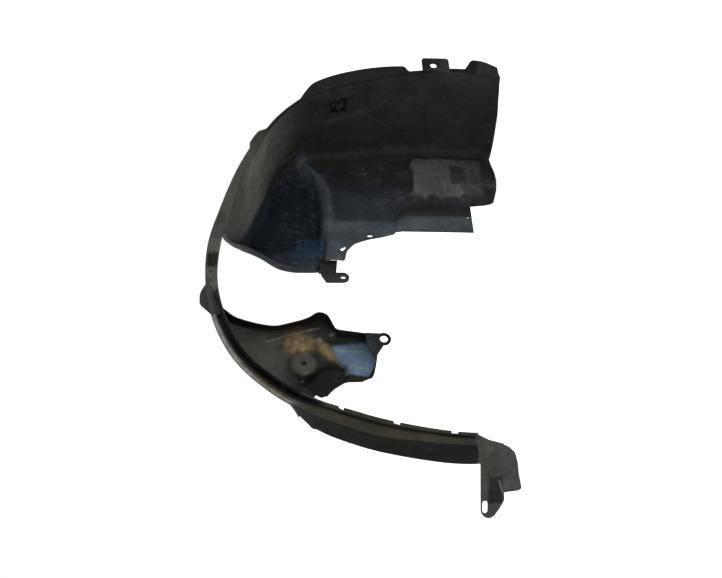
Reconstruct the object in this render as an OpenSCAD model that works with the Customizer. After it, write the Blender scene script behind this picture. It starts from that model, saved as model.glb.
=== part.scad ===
// Front wheel arch liner for the right side of a small car, moulded in one piece from black plastic.
// While it is being shaped, X points to the front, Y points in from the wheel opening and Z points up,
// from the centre of the arch on the plane of its lip. Angles round the arch are measured from the front:
// 0 is level with the centre at the front, 90 is the crown and 180 is level with the centre at the rear.

/* [Shell] */
// Thickness of the moulded wall
wall = 2; // [1.6:0.1:3]
// Depth of the front bay, from the lip to its inner wall
bay_depth = 190; // [150:5:220]
// Depth of the strap that runs over the crown
strap_depth = 62; // [45:1:90]
// Depth of the rear wing, from the lip to its wall
wing_depth = 140; // [115:5:165]
// Depth of the channel down the rear
rear_depth = 94; // [60:1:110]
// Radius between the tread and the inner wall of the front bay
bay_fillet = 16; // [8:1:30]

/* [Folded edges] */
// How far the edge round the pocket turns out towards the wheel
pocket_rim = 16; // [10:1:25]
// How far the foot of the front bay slopes out towards the wheel
foot_slope = 30; // [15:1:45]
// How far the upper edge of the wing turns out towards the wheel
wing_rim = 20; // [10:1:30]
// Depth of the groove in the lip between the crown and the rear
groove = 9; // [4:0.5:14]

/* [Front bay] */
// Depth of the pocket pressed into the inner wall beside the strut
pocket = 26; // [10:1:40]
// Depth of the recess round the clip on the tread
clip_recess = 7; // [3:0.5:12]
// Diameter of the seat of the clip
clip_seat = 15; // [12:0.5:20]
// Diameter of the blind hole in that seat
clip_hole = 7; // [4:0.5:10]
// Length of the pressed cup on the tread, behind the clip
cup_len = 30; // [16:1:36]
// Width of that cup
cup_w = 10; // [6:0.5:12]
// Depth of that cup
cup_deep = 6; // [4:0.5:8]
// Height of the raised field on the inner wall
field = 5; // [2:0.5:9]

/* [Upper tab] */
// Width of the tab on the front of the lip
tab_w = 48; // [40:1:58]
// Reach of the tab past the lip
tab_reach = 25; // [20:1:32]
// Thickness of the tab, a little more than the shell's
tab_wall = 2.6; // [2:0.1:4]
// Diameter of its fixing hole
tab_hole = 12; // [6:0.5:14]

/* [Wing] */
// Diameter of the hole in the eye of the wing
eye_hole = 13; // [8:0.5:15]
// Width of plastic round the hole of the eye
eye_band = 5; // [4:0.5:8]
// Diameter of the raised pad on the wing
pad_d = 40; // [30:1:50]
// Height of the raised pad
pad_h = 5; // [2:0.5:8]
// Diameter of the blind hole in the pad
pad_hole = 7; // [4:0.5:10]

/* [Foot tab] */
// Length of the foot tab, round end included
foot_len = 48; // [40:1:56]
// Width of the foot tab
foot_w = 21; // [17:1:26]
// Diameter of the two round holes beside the foot tab
foot_hole = 10; // [6:0.5:12]
// Diameter of the small hole in the corner of the bay's foot
corner_hole = 4; // [2:0.5:6]
// Length of the slot in the foot tab
foot_slot = 8; // [6:0.5:10]
// Width of the slot in the foot tab
foot_slot_w = 5; // [3:0.5:6]

/* [Rear end] */
// Length of the long finger of the rear end plate
finger_len = 114; // [95:1:130]
// Width of the long finger
finger_w = 33; // [28:1:38]
// Length of the slot near the tip of the long finger
finger_slot = 17; // [12:1:20]
// Width of that slot
finger_slot_w = 7.5; // [5:0.5:9]
// Length of the short finger
short_len = 78; // [60:1:90]
// Width of the short finger
short_w = 25; // [18:1:32]
// Length of each slot along the rear lip
lip_slot = 11; // [6:0.5:14]
// Width of each slot along the rear lip
lip_slot_w = 4; // [2:0.5:5]

/* [Hidden] */
$fn = 36;
black = [0.16, 0.16, 0.15];
join = 0.5; // how far joined solids run into each other

// Lines round the arch

// Each line is set at a few stations: the angle round the arch, then the value there.
lip_line = [[-24, 388], [-10, 383], [0, 373], [18, 364], [31, 369], [44, 361], [58, 344], [77, 336],
  [93, 349], [107, 365], [122, 372], [134, 364], [142, 356], [154, 342], [168, 337], [184, 342]];
lip_width = [[-24, 8], [-18.5, 24], [-14.5, 31], [-12.5, 30], [-11, 6], [3.6, 4.5], [4.8, 18], [20, 28],
  [29, 23], [33, 12], [36, 4.5], [46, 4.5], [49, 5], [52, 15], [56, 17], [58, 12], [70, 14], [76, 16],
  [79, 17], [94, 19], [103, 17], [118, 19], [131, 23], [146, 27], [158, 29], [170, 23], [184, 19]];
tread_depth = [[-24, bay_depth], [66, bay_depth], [70, bay_depth * 0.9], [74, bay_depth * 0.68],
  [77.5, strap_depth * 1.3], [81, strap_depth], [93, strap_depth], [96.5, strap_depth * 1.15],
  [99, wing_depth * 0.8], [101.5, wing_depth * 0.96], [105, wing_depth], [138, wing_depth],
  [144, rear_depth], [184, rear_depth]];
tread_radius = [[-24, 372], [0, 366], [18, 371], [31, 394], [41, 384], [53, 350], [64, 340], [68, 343],
  [72, 350], [76, 358], [80, 359], [88, 361], [94, 365], [98, 365], [101, 355], [104, 346], [107, 340],
  [114, 333], [123, 327], [130, 319], [134, 323], [138, 334], [141, 343], [143, 348], [154, 342],
  [168, 337], [184, 342]];
// How much of the inner wall there is: only a hem over the crown and down the rear
wall_share = [[-24, 1], [64, 1], [75, 0], [97.5, 0], [101, 1], [140, 1], [148, 0], [184, 0]];
hem = 10; // width of that hem
hem_edge = 4; // how far its tip turns out
hem_rows = 1.5; // how much further apart its rows lie near that tip
wall_run = 140; // about how far the inner wall runs in from the tread
// Where the inner wall ends: angle, X, then Z
wall_end = [[-24, 226, -97], [-19.5, 228, -97], [-14, 229, -74], [11, 229, 16], [13, 218, 28],
  [15.5, 194, 44], [30, 183, 106], [44, 173, 159], [46, 165, 166], [48, 81, 180], [52, 80, 198],
  [55, 80, 215], [58, 82, 232], [61, 87, 249], [64, 97, 265], [67, 109, 281], [71, 117, 300],
  [76, 98, 322], [96, -50, 338], [100, -61, 334], [104, -74, 290], [109, -78, 262], [113, -72, 236],
  [116, -63, 210], [118, -52, 192], [120, -56, 180], [122.5, -86, 164], [125, -92, 136], [127, -93, 114],
  [129, -102, 100], [131, -122, 102], [133, -143, 106], [136, -166, 113], [140, -190, 130],
  [146, -210, 150], [184, -210, 150]];
// How the edge beyond the inner wall turns: angle, X, Z, then Y
edge_turn = [[-24, -84, 6, -foot_slope], [11, -82, 20, -foot_slope], [16, -50, 10, -foot_slope * 0.8],
  [22, -52, 0, -foot_slope * 0.9], [34, -61, -2, -foot_slope], [38, -73, -3, -foot_slope],
  [43, -93, -12, -foot_slope], [46, -84, 4, -foot_slope], [48, 0, 0, -pocket_rim],
  [68, 0, 0, -pocket_rim], [80, 0, 0, -pocket_rim], [98, 0, 0, -wing_rim], [129, 0, 0, -wing_rim],
  [133, -3, 0, -wing_rim * 0.6], [136, -6, 0, -wing_rim * 0.3], [184, -6, 0, -wing_rim * 0.3]];
// The front end is cut off upright: how far each row of the first station leans from its angle
front_lean = [[0, 0.5], [1, -1], [1.2, -1.6], [1.5, -2.8], [2, -3.6], [2.5, -3], [3, 0], [4, 0]];
lean_span = 26;
// The rear end leans the same way, so that its rows end above one another on the end plate
rear_lean = [[0, 0], [1, 0], [2, 3.8], [4, 3.8]];
// How far the front end of the inner wall swells down, by row
front_bow = [[2, 0], [2.33, 24], [2.5, 32], [2.75, 41], [2.86, 43], [3, 0]];

// Stations round the arch, closer where the edges turn quickly
stations = concat([for (a = [-19.5 : 2.75 : -11]) a], [-10.4], [for (a = [-7.5 : 3.5 : 3]) a], [3.6, 4.8],
  [7.5, 9.75], [for (a = [12 : 1.5 : 17]) a], [for (a = [19 : 3 : 34]) a], [35.5, 37], [40, 42.5],
  [for (a = [44 : 1 : 49]) a], [for (a = [51.5 : 2.5 : 62]) a], [for (a = [64 : 1.5 : 72]) a],
  [for (a = [76 : 4 : 96]) a], [for (a = [98 : 2 : 112]) a], [for (a = [114 : 1.25 : 134]) a],
  [for (a = [136 : 3 : 150]) a], [for (a = [155 : 4.5 : 182]) a]);
// Rows across the section: 0 tip of the lip, 1 lip, 2 tread meets wall, 3 end of wall, 4 tip of the edge
rows = concat([0, 0.3, 0.5, 0.7], [for (s = [1 : 0.15 : 1.8]) s], [1.9, 1.97, 2.03, 2.1],
  [for (s = [2.2 : 0.11 : 2.87]) s], [3, 3.5, 4]);

// Curves through the stations

function span_of(line, a, i = 0) = i >= len(line) - 2 || a < line[i + 1][0] ? i : span_of(line, a, i + 1);
function rise(line, i, c) = (line[i + 1][c] - line[i][c]) / (line[i + 1][0] - line[i][0]);
function slope(line, i, c) =
  i == 0 ? rise(line, 0, c) :
  i == len(line) - 1 ? rise(line, i - 1, c) :
  let (before = rise(line, i - 1, c), after = rise(line, i, c))
  before * after <= 0 ? 0 : 2 * before * after / (before + after);
// Value of a line at an angle, on a smooth curve that never swings past its stations
function at(line, a, c = 1) =
  a <= line[0][0] ? line[0][c] :
  a >= line[len(line) - 1][0] ? line[len(line) - 1][c] :
  let (i = span_of(line, a), gap = line[i + 1][0] - line[i][0], t = (a - line[i][0]) / gap)
  line[i][c] * (2 * t * t * t - 3 * t * t + 1) + slope(line, i, c) * gap * (t * t * t - 2 * t * t + t)
  + line[i + 1][c] * (3 * t * t - 2 * t * t * t) + slope(line, i + 1, c) * gap * (t * t * t - t * t);

function mix(a, b, t) = a * (1 - t) + b * t;
// 0 below the first value, 1 above the second, and smooth between them
function ramp(low, high, v) = let (t = max(0, min(1, (v - low) / (high - low)))) t * t * (3 - 2 * t);
// 1 inside a band and 0 outside it, with soft ends
function band(low, high, soft, v) = ramp(low - soft, low, v) * (1 - ramp(high, high + soft, v));

// Relief

// Height where the floor of the pocket begins, at each X
pocket_side = [[95, 178], [120, 176], [215, 171], [272, 175], [302, 186], [325, 206], [345, 222]];
// Depth that the inner wall is pressed in or out at a place on it
function wall_relief(x, z) =
  pocket * ramp(-14, 18, z - at(pocket_side, x)) * ramp(98, 168, x) * (1 - ramp(292, 352, x))
  - field * band(250, 335, 14, x) * band(-122, 4, 14, z);
// Radius that the tread is pressed out at an angle and a depth
function tread_relief(a, y) =
  clip_recess * band(15, 25, 1.5, a) * band(32, 70, 6, y)
  + 5 * (1 - ramp(-19.5, -15, a)) * ramp(10, 40, y);
// Depth of the lip's groove and bead: s runs from its tip to the lip
function lip_relief(a, s) =
  groove * ramp(104, 110, a) * (1 - ramp(140, 148, a)) * (band(0.55, 0.75, 0.2, s) - 0.3 * ramp(0.2, 0, s))
  + 3 * ramp(143, 150, a) * band(0.7, 0.8, 0.15, s);

// The surface on the wheel side, by angle and row

function arch(radius, a, y) = [radius * cos(a), y, radius * sin(a)];
function tread_corner(a) = arch(at(tread_radius, a), a, at(tread_depth, a));
function wall_edge(a) =
  let (c = arch(at(tread_radius, a) - hem, a, at(tread_depth, a)))
  mix(c, [at(wall_end, a), c.y, at(wall_end, a, 2)], at(wall_share, a));
function wall_point(a, t) =
  let (p = mix(tread_corner(a), wall_edge(a), t), w = at(wall_share, a))
  [p.x, p.y + w * wall_relief(p.x, p.z), p.z];
function tread_point(a, t) =
  let (y = t * tread_corner(a).y, r = mix(at(lip_line, a), at(tread_radius, a), t))
  arch(r + tread_relief(a, y), a, y);
// Share of the tread and of the wall that the fillet between them takes up
function fillet_at(a) = mix(4, bay_fillet, at(wall_share, a));
function tread_fillet(a) = fillet_at(a) / at(tread_depth, a);
function wall_fillet(a) = mix(0.4, bay_fillet / wall_run, at(wall_share, a));
function corner_point(a, s) =
  let (t = (s - 1.9) / 0.2, from = tread_point(a, 1 - tread_fillet(a)), to = wall_point(a, wall_fillet(a)))
  from * (1 - t) * (1 - t) + tread_corner(a) * 2 * t * (1 - t) + to * t * t;
function edge_point(a, t) =
  wall_point(a, 1)
  + t * mix([0, -hem_edge, 0], [at(edge_turn, a), at(edge_turn, a, 3), at(edge_turn, a, 2)],
    at(wall_share, a));
function lip_point(a, s) = arch(at(lip_line, a) + (1 - s) * at(lip_width, a), a, lip_relief(a, s));
function skin(a, s) =
  s < 1 ? lip_point(a, s) :
  s < 1.9 ? tread_point(a, (s - 1) / 0.9 * (1 - tread_fillet(a))) :
  s <= 2.1 ? corner_point(a, s) :
  s <= 3 ? wall_point(a, mix(wall_fillet(a), 1, pow((s - 2.1) / 0.9, mix(hem_rows, 1, at(wall_share, a))))) :
  edge_point(a, s - 3);
// The first stations lean so that the front end is cut off upright
function lean(a, s) = a + at(front_lean, s) * (1 - ramp(0, lean_span, a - stations[0]))
  + at(rear_lean, s) * ramp(lean_span, 0, stations[len(stations) - 1] - a);
function bow(a, s) = at(front_bow, s) * (1 - ramp(0, lean_span, a - stations[0]));
grid = [for (a = stations) [for (s = rows) skin(lean(a, s), s) - [0, 0, bow(a, s)]]];

// Wall thickness: each point of a side stands off by half of it, along the mean of the faces beside it
function unit(v) = v / max(norm(v), 1e-9);
function clip_at(i, n) = max(0, min(n - 1, i));
function face_normal(i, j, step) =
  let (m = len(stations), n = len(rows), k = clip_at(j + step, n),
    along = grid[clip_at(i + 1, m)][j] - grid[clip_at(i - 1, m)][j],
    across = step > 0 ? grid[i][k] - grid[i][j] : grid[i][j] - grid[i][k])
  unit(cross(across, along));
function offset_at(i, j) =
  let (n = len(rows), before = j == 0 ? face_normal(i, j, 1) : face_normal(i, j, -1),
    after = j == n - 1 ? before : face_normal(i, j, 1), mean = unit(before + after))
  mean * wall / 2 / max(0.75, mean * before);

// A face with four corners, as two triangles
function quad(a, b, c, d) = [[a, c, b], [a, d, c]];

module shell() {
  m = len(stations);
  n = len(rows);
  near = [for (i = [0 : m - 1]) for (j = [0 : n - 1]) grid[i][j] - offset_at(i, j)];
  far = [for (i = [0 : m - 1]) for (j = [0 : n - 1]) grid[i][j] + offset_at(i, j)];
  function id(side, i, j) = side * m * n + i * n + j;
  near_faces = [for (i = [0 : m - 2]) for (j = [0 : n - 2])
    each quad(id(0, i, j), id(0, i + 1, j), id(0, i + 1, j + 1), id(0, i, j + 1))];
  far_faces = [for (i = [0 : m - 2]) for (j = [0 : n - 2])
    each quad(id(1, i, j), id(1, i, j + 1), id(1, i + 1, j + 1), id(1, i + 1, j))];
  side_faces = [for (i = [0 : m - 2])
    each concat(quad(id(0, i, 0), id(1, i, 0), id(1, i + 1, 0), id(0, i + 1, 0)),
      quad(id(0, i, n - 1), id(0, i + 1, n - 1), id(1, i + 1, n - 1), id(1, i, n - 1)))];
  end_faces = [for (j = [0 : n - 2])
    each concat(quad(id(0, 0, j), id(0, 0, j + 1), id(1, 0, j + 1), id(1, 0, j)),
      quad(id(0, m - 1, j), id(1, m - 1, j), id(1, m - 1, j + 1), id(0, m - 1, j + 1)))];
  color(black)
  polyhedron(concat(near, far), concat(near_faces, far_faces, side_faces, end_faces), convexity = 12);
}

// Solids with true flats and holes, joined to the shell

// Tab that is screwed behind the bumper's corner
tab_at = [382, 0, -24];
module upper_tab() {
  color(black)
  translate(tab_at) rotate([90, 0, 0])
  linear_extrude(tab_wall, center = true)
  hull() {
    translate([-8, -tab_w / 2]) square([1, tab_w]);
    for (side = [-1, 1]) translate([tab_reach - 6, side * (tab_w / 2 - 6)]) circle(6, $fn = 32);
  }
}

// Eye at the inner corner of the wing
eye_at = [-103, wing_depth - wing_rim, 91];
module eye() {
  color(black)
  translate([0, eye_at.y + wall, 0]) rotate([90, 0, 0]) linear_extrude(wall) {
    translate([eye_at.x, eye_at.z]) circle(eye_hole / 2 + eye_band);
    polygon([[-92, 96], [-91, 118], [-112, 116], [-138, 108], [-114, 92]]);
  }
}

// Raised pad on the wing, round its hole
pad_at = [-140, wing_depth, 218];
module pad() {
  color(black)
  translate([pad_at.x, pad_at.y + wall / 4, pad_at.z]) rotate([90, 0, 0])
  cylinder(d1 = pad_d + 2 * pad_h, d2 = pad_d, h = pad_h);
}

// Radius of the tread at an angle and a depth, in whole millimetres
function tread_r(a, y) = floor(norm([for (c = [0, 2]) tread_point(a, y / at(tread_depth, a))[c]]));

// Seat of a clip in its recess on the tread
clip_at = [22.5, 58]; // angle round the arch, then depth
seat_h = 4.5; // how far the seat stands in from the middle of the tread's wall
module on_clip(from, to, d) {
  rotate([0, -clip_at.x, 0]) translate([tread_r(clip_at.x, clip_at.y) + from, clip_at.y, 0])
  rotate([0, 90, 0]) cylinder(d = d, h = to - from, $fn = 24);
}

// Cup pressed out of the tread: its outer form, and the hollow that is cut from it
cup_at = [36, bay_depth - 41]; // angle round the arch, then depth
module cup_form(length, width, from, to) {
  rotate([0, -cup_at.x, 0]) translate([tread_r(cup_at.x, cup_at.y) + from, cup_at.y, 0]) rotate([0, 90, 0])
  linear_extrude(to - from) rotate(10) slot_shape(length, width, $fn = 20);
}

// Bracket below the foot of the front bay: a neck that steps in, then a tab that lies flat
foot_at = [77, bay_depth - foot_slope, 166];
foot_step = 28; // how far the tab stands in from the free edge
neck_w = 26;
neck_lean = 4; // how far the neck's outer end stands over the tab's edge, under the free edge of the bay
module foot_tab() {
  color(black) {
    hull() {
      translate(foot_at + [neck_lean, 0, -neck_w / 2]) cube([wall, 1, neck_w + 4]);
      translate(foot_at + [-join, foot_step, -neck_w / 2]) cube([wall, wall, neck_w + 4]);
    }
    translate(foot_at + [wall - join, foot_step + wall, neck_w / 2]) rotate([90, 90, 0]) linear_extrude(wall)
    translate([0, -foot_w]) {
      polygon([[foot_w * 0.4, 0], [foot_len - foot_w / 2, 0], [foot_len - foot_w / 2, foot_w], [0, foot_w],
        [0, foot_w * 0.7]]);
      translate([foot_len - foot_w / 2, foot_w / 2]) circle(foot_w / 2);
    }
  }
}

// Fin that stands up from the crown of the strap
module fin() {
  color(black)
  translate([0, 6, 0]) rotate([90, 0, 0]) linear_extrude(wall)
  polygon([[-76, 356], [-80, 368], [-97, 377], [-117, 377], [-138, 357], [-134, 342]]);
}

// Plate that closes the rear end, with two fingers
plate_at = [-347, 0, 0];
plate_turn = 143; // heading of the plate, seen from above
plate_top = 10; // how far the plate starts below the centre of the arch
plate_press = 1.4; // depth of the pocket pressed into the plate
plate_pocket = [[46, -26], [44, -38], [58, -46], [84, -44], [85, -27]];
module end_plate() {
  long_right = plate_top + 5 + finger_w;
  color(black)
  translate(plate_at) rotate([90, 0, plate_turn])
  difference() {
    union() {
      linear_extrude(wall) plate_outline(long_right);
      translate([0, 0, plate_press]) linear_extrude(wall) offset(delta = plate_press) polygon(plate_pocket);
    }
    linear_extrude(2 * plate_press, center = true) polygon(plate_pocket);
    translate([finger_len - 16, -plate_top - 11, 0]) rotate([0, 0, 180])
    linear_extrude(4 * wall, center = true) slot_shape(finger_slot, finger_slot_w);
  }
}
module plate_outline(long_right) {
  polygon([[-4, -plate_top], [8, -plate_top], [12, -plate_top - 5], [finger_len - 8, -plate_top - 5],
    [finger_len - 2, -plate_top - 10],
    [finger_len + 1, -plate_top - 17], [finger_len - 3, -plate_top - 25], [finger_len - 12, -plate_top - 32],
    [finger_len - 26, -long_right + 2], [finger_len - 36, -long_right - 1], [10, -long_right],
    [4, -plate_top - 16]]);
  polygon([[9, -long_right + 6], [14, -long_right - 7], [23, -long_right - 17], [38, -long_right - 21],
    [54, -long_right - 23], [66, -long_right - short_w - 1], [short_len - 3, -long_right - short_w - 3],
    [short_len, -long_right - short_w + 1], [short_len + 2, -long_right - 4],
    [short_len - 2, -long_right - 3],
    [short_len - 22, -long_right + 6]]);
}

// Slot with round ends, centred and lying along X
module slot_shape(length, width) {
  square([length - width, width], center = true);
  for (side = [-1, 1]) translate([side * (length - width) / 2, 0]) circle(width / 2);
}

// Outline of the cut that ends the wing
wing_cut = [[-145, 95], [-163, 112], [-170, 128], [-172, 155], [-181, 171], [-204, 189], [-250, 232],
  [-262, 250], [-330, 260], [-380, 60], [-150, 60]];

// Round holes in the foot of the front bay, and the small one in its corner
foot_holes = [[142, bay_depth - 25, 93], [115, bay_depth - 26, 141]];
corner_hole_at = [190, bay_depth - 10, -86];

// The finished part has its origin in the fixing hole of the upper tab, halfway through the tab
origin_at = [389, 0, -20];
module liner() {
  translate(-origin_at)
  difference() {
    union() {
      shell();
      upper_tab();
      eye();
      pad();
      color(black) on_clip(-seat_h, -wall / 4, clip_seat);
      color(black) cup_form(cup_len + 2 * wall, cup_w + 2 * wall, 0, cup_deep + wall);
      foot_tab();
      fin();
      end_plate();
    }
    // Fixing hole of the upper tab
    translate(origin_at) rotate([90, 0, 0]) cylinder(d = tab_hole, h = 20, center = true);
    // Hole of the eye
    translate(eye_at) rotate([90, 0, 0]) cylinder(d = eye_hole, h = 20, center = true);
    // The wing ends in a cut above the rear channel
    translate([0, rear_depth - 2, 0]) rotate([90, 0, 0]) mirror([0, 0, 1]) linear_extrude(100)
    polygon(wing_cut);
    // Slots along the rear lip
    for (a = [149.5, 162.7, 176.5])
      rotate([0, -a, 0]) translate([at(lip_line, a) + 0.75, 0, 0]) rotate([90, 90, 0])
      linear_extrude(16, center = true) slot_shape(lip_slot, lip_slot_w);
    // Slot of the foot tab
    translate(foot_at + [wall - foot_w / 2, foot_step, neck_w / 2 - foot_len + foot_w / 2])
    rotate([90, 90, 0]) linear_extrude(12, center = true) slot_shape(foot_slot, foot_slot_w);
    // Holes of the foot of the bay
    for (p = foot_holes) translate(p) rotate([90, 0, 25]) cylinder(d = foot_hole, h = 30, center = true);
    // Blind hole in the seat of the clip
    on_clip(-8, -wall, clip_hole);
    // Hollow of the cup on the tread
    cup_form(cup_len, cup_w, -wall * 4, cup_deep);
    // Blind hole of the pad
    translate(pad_at - [0, pad_h - 2, 0]) rotate([90, 0, 0]) cylinder(d = pad_hole, h = 20);
    // Small hole in the corner of the foot
    translate(corner_hole_at) rotate([90, 0, 25]) cylinder(d = corner_hole, h = 40, center = true);
  }
}

liner();
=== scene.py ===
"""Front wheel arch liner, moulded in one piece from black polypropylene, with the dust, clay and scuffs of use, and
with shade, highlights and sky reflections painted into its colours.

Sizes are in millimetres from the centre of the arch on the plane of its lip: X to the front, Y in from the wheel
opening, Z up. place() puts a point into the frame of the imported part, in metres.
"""
from functools import lru_cache
from math import atan2, cos, degrees, hypot, radians, sin

import bmesh
import bpy
from mathutils import Matrix, Vector, noise


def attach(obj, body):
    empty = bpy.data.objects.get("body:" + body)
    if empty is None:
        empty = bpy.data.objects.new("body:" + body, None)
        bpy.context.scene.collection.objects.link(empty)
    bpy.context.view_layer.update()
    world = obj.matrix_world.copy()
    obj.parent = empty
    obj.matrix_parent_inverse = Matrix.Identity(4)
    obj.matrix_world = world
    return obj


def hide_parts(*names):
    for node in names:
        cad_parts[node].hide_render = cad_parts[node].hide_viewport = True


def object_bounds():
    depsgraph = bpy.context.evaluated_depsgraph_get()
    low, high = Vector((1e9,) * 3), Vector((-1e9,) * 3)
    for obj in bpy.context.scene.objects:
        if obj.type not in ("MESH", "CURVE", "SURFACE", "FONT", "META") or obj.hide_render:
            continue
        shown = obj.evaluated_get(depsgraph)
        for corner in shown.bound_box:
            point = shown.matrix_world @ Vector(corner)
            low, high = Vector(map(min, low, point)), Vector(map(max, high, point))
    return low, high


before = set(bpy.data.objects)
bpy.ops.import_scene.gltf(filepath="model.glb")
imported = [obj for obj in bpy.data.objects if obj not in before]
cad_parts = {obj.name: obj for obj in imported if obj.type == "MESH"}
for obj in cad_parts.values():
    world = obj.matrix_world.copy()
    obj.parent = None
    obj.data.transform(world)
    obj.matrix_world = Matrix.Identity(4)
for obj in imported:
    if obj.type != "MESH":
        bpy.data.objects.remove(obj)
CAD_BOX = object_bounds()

MM = 0.001
TAB_HOLE_AT = Vector((389, 0, -20))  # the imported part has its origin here
WALL = 2


def place(point):
    """A point of the arch's frame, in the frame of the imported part."""
    return (Vector(point) - TAB_HOLE_AT) * MM


# ---------------------------------------------------------------- the section of the liner round the arch

BAY_DEPTH, STRAP_DEPTH, WING_DEPTH, REAR_DEPTH = 190, 62, 140, 94
BAY_FILLET = 16
POCKET_RIM, FOOT_SLOPE, WING_RIM = 16, 30, 20
GROOVE = 9
POCKET, CLIP_RECESS, FIELD = 26, 7, 5
HEM, HEM_EDGE = 10, 4

# Each line is set at a few angles round the arch, and runs smoothly between them.
LINES = {
    "lip": ((-24, 388), (-10, 383), (0, 373), (18, 364), (31, 369), (44, 361), (58, 344), (77, 336), (93, 349),
            (107, 365), (122, 372), (134, 364), (142, 356), (154, 342), (168, 337), (184, 342)),
    "lip_width": ((-24, 8), (-18.5, 24), (-14.5, 31), (-12.5, 30), (-11, 6), (3.6, 4.5), (4.8, 18), (20, 28), (29, 23),
                  (33, 12), (36, 4.5), (46, 4.5), (49, 5), (52, 15), (56, 17), (58, 12), (70, 14), (76, 16), (79, 17),
                  (94, 19), (103, 17), (118, 19), (131, 23), (146, 27), (158, 29), (170, 23), (184, 19)),
    "depth": ((-24, BAY_DEPTH), (66, BAY_DEPTH), (70, BAY_DEPTH * 0.9), (74, BAY_DEPTH * 0.68),
              (77.5, STRAP_DEPTH * 1.3), (81, STRAP_DEPTH), (93, STRAP_DEPTH), (96.5, STRAP_DEPTH * 1.15),
              (99, WING_DEPTH * 0.8), (101.5, WING_DEPTH * 0.96), (105, WING_DEPTH), (138, WING_DEPTH),
              (144, REAR_DEPTH), (184, REAR_DEPTH)),
    "tread": ((-24, 372), (0, 366), (18, 371), (31, 394), (41, 384), (53, 350), (64, 340), (68, 343), (72, 350),
              (76, 358), (80, 359), (88, 361), (94, 365), (98, 365), (101, 355), (104, 346), (107, 340), (114, 333),
              (123, 327), (130, 319), (134, 323), (138, 334), (141, 343), (143, 348), (154, 342), (168, 337),
              (184, 342)),
    "wall_share": ((-24, 1), (64, 1), (75, 0), (97.5, 0), (101, 1), (139.5, 1), (143, 0), (184, 0)),
    "wall_end": ((-24, 226, -97), (-19.5, 228, -97), (-14, 229, -74), (11, 229, 16), (13, 218, 28), (15.5, 194, 44),
                 (30, 183, 106), (44, 173, 159), (46, 165, 166), (48, 81, 180), (52, 80, 198), (55, 80, 215),
                 (58, 82, 232), (61, 87, 249), (64, 97, 265), (67, 109, 281), (71, 117, 300), (76, 98, 322),
                 (96, -50, 338), (100, -61, 334), (104, -74, 290), (109, -78, 262), (113, -72, 236), (116, -63, 210),
                 (118, -52, 192), (120, -56, 180), (122.5, -86, 164), (125, -92, 136), (127, -93, 114),
                 (129, -102, 100), (131, -122, 102), (133, -143, 106), (136, -166, 113), (140, -190, 130),
                 (146, -210, 150), (184, -210, 150)),
    "edge_turn": ((-24, -84, 6, -FOOT_SLOPE), (11, -82, 20, -FOOT_SLOPE), (16, -50, 10, -FOOT_SLOPE * 0.8),
                  (22, -52, 0, -FOOT_SLOPE * 0.9), (34, -61, -2, -FOOT_SLOPE), (38, -73, -3, -FOOT_SLOPE),
                  (43, -93, -12, -FOOT_SLOPE), (46, -84, 4, -FOOT_SLOPE), (48, 0, 0, -POCKET_RIM),
                  (68, 0, 0, -POCKET_RIM), (80, 0, 0, -POCKET_RIM), (98, 0, 0, -WING_RIM), (129, 0, 0, -WING_RIM),
                  (133, -3, 0, -WING_RIM * 0.6), (136, -6, 0, -WING_RIM * 0.3), (184, -6, 0, -WING_RIM * 0.3)),
    "front_lean": ((0, 0.5), (1, -1), (1.2, -1.6), (1.5, -2.8), (2, -3.6), (2.5, -3), (3, 0), (4, 0)),
    "rear_lean": ((0, 0), (1, 0), (2, 3.8), (4, 3.8)),
    "front_bow": ((2, 0), (2.33, 24), (2.5, 32), (2.75, 41), (2.9, 42), (2.96, 34), (3, 0)),
}
FIRST, LAST = -19.5, 182
LEAN_SPAN = 26

# Where the fillet between the tread and the wall lies along the section, and how much of it lies flat on each side.
FILLET_FROM, FILLET_TO, FILLET_SPAN, FLAT_SPAN = 1.9, 2.1, 0.2, 0.9


@lru_cache(maxsize=None)
def at(name, a, column=1):
    """Value of a line at an angle, on a smooth curve that never swings past its points."""
    line = LINES[name]
    if a <= line[0][0]:
        return line[0][column]
    if a >= line[-1][0]:
        return line[-1][column]
    i = next(k for k in range(len(line) - 1) if a < line[k + 1][0])

    def rise(k):
        return (line[k + 1][column] - line[k][column]) / (line[k + 1][0] - line[k][0])

    def slope(k):
        if k == 0:
            return rise(0)
        if k == len(line) - 1:
            return rise(k - 1)
        before, after = rise(k - 1), rise(k)
        return 0 if before * after <= 0 else 2 * before * after / (before + after)

    gap = line[i + 1][0] - line[i][0]
    t = (a - line[i][0]) / gap
    return (line[i][column] * (2 * t**3 - 3 * t**2 + 1) + slope(i) * gap * (t**3 - 2 * t**2 + t)
            + line[i + 1][column] * (3 * t**2 - 2 * t**3) + slope(i + 1) * gap * (t**3 - t**2))


def mix(a, b, t):
    return a * (1 - t) + b * t


def ramp(low, high, v):
    t = max(0.0, min(1.0, (v - low) / (high - low)))
    return t * t * (3 - 2 * t)


def band(low, high, soft, v):
    return ramp(low - soft, low, v) * (1 - ramp(high, high + soft, v))


def patch(corners, soft, x, z):
    """1 inside a patch with straight sides and 0 outside it. Its corners are given anticlockwise and soft is the
    width of the slope along its sides."""
    inside = 1.0
    for (x0, z0), (x1, z1) in zip(corners, corners[1:] + corners[:1]):
        length = hypot(x1 - x0, z1 - z0)
        reach = ((x1 - x0) * (z - z0) - (z1 - z0) * (x - x0)) / length
        if reach < -soft:
            return 0.0
        inside *= ramp(-soft, 0, reach)
    return inside


def near_line(points, x, z):
    """Distance from a place to a line through some points."""
    best = 1e9
    for (x0, z0), (x1, z1) in zip(points, points[1:]):
        dx, dz = x1 - x0, z1 - z0
        t = max(0.0, min(1.0, ((x - x0) * dx + (z - z0) * dz) / (dx * dx + dz * dz)))
        best = min(best, hypot(x - x0 - t * dx, z - z0 - t * dz))
    return best


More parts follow.
